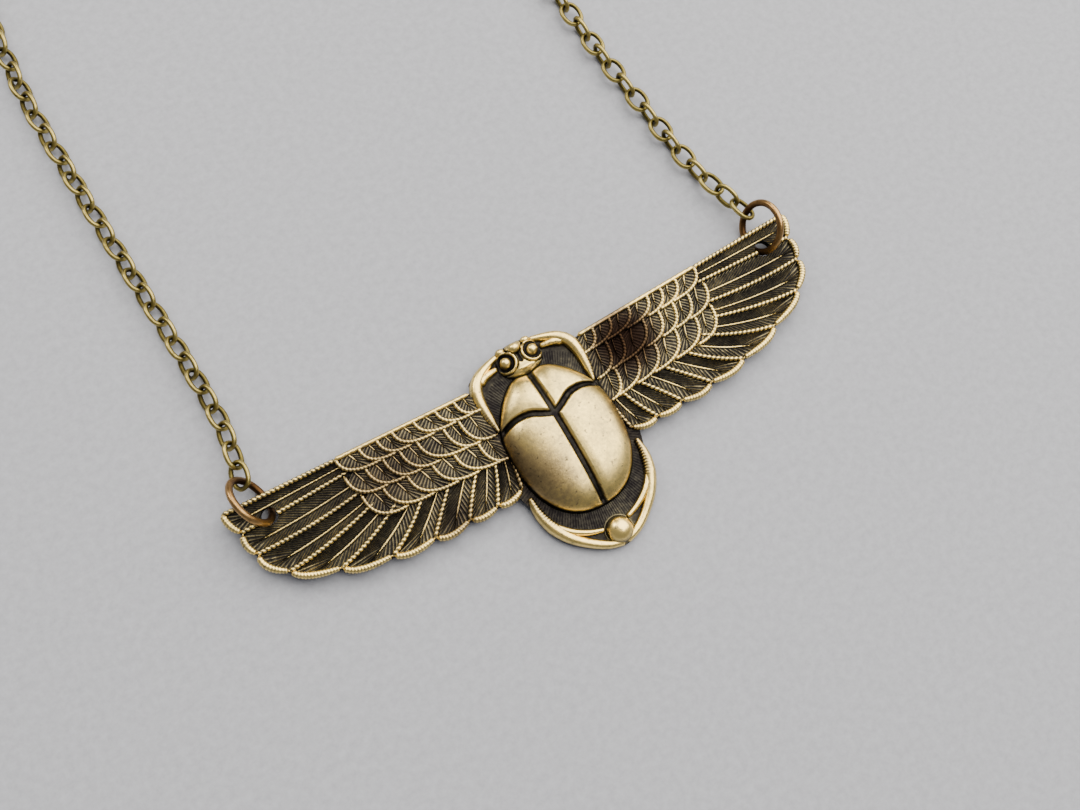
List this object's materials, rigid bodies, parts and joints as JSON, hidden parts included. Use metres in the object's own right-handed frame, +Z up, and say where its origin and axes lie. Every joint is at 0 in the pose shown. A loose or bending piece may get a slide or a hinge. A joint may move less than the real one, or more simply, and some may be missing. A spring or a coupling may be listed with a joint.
{
  "type": "winged scarab amulet necklace",
  "caption": "Die-struck winged scarab pendant with feathered wings and a domed beetle, hung by a jump ring at each wing tip on a cable chain with a hook clasp.",
  "frame": {"origin": "middle of the underside of the whole layout, on the table", "axes": "+X from the left wing to the right wing as seen from the front, +Y from the pendant towards the clasp, +Z up from the table"},
  "size_m": [0.0886, 0.1554, 0.0071],
  "materials": {
    "stamping": "antiqued, relief polished, recesses black brown",
    "chain": "antiqued olive brass",
    "ring": "antiqued coppery brown"
  },
  "bodies": {
    "root": {"winged_scarab": "stamping", "jump_ring_left": "ring", "jump_ring_right": "ring", "chain_left_1": "chain", "chain_left_2": "chain", "chain_left_3": "chain", "chain_left_4": "chain", "chain_left_5": "chain", "chain_left_6": "chain", "chain_left_7": "chain", "chain_left_8": "chain", "chain_right_1": "chain", "chain_right_2": "chain", "chain_right_3": "chain", "chain_right_4": "chain", "chain_right_5": "chain", "chain_right_6": "chain", "chain_right_7": "chain", "chain_right_8": "chain", "clasp_hook": "ring", "clasp_ring": "ring"}
  },
  "joints": []
}
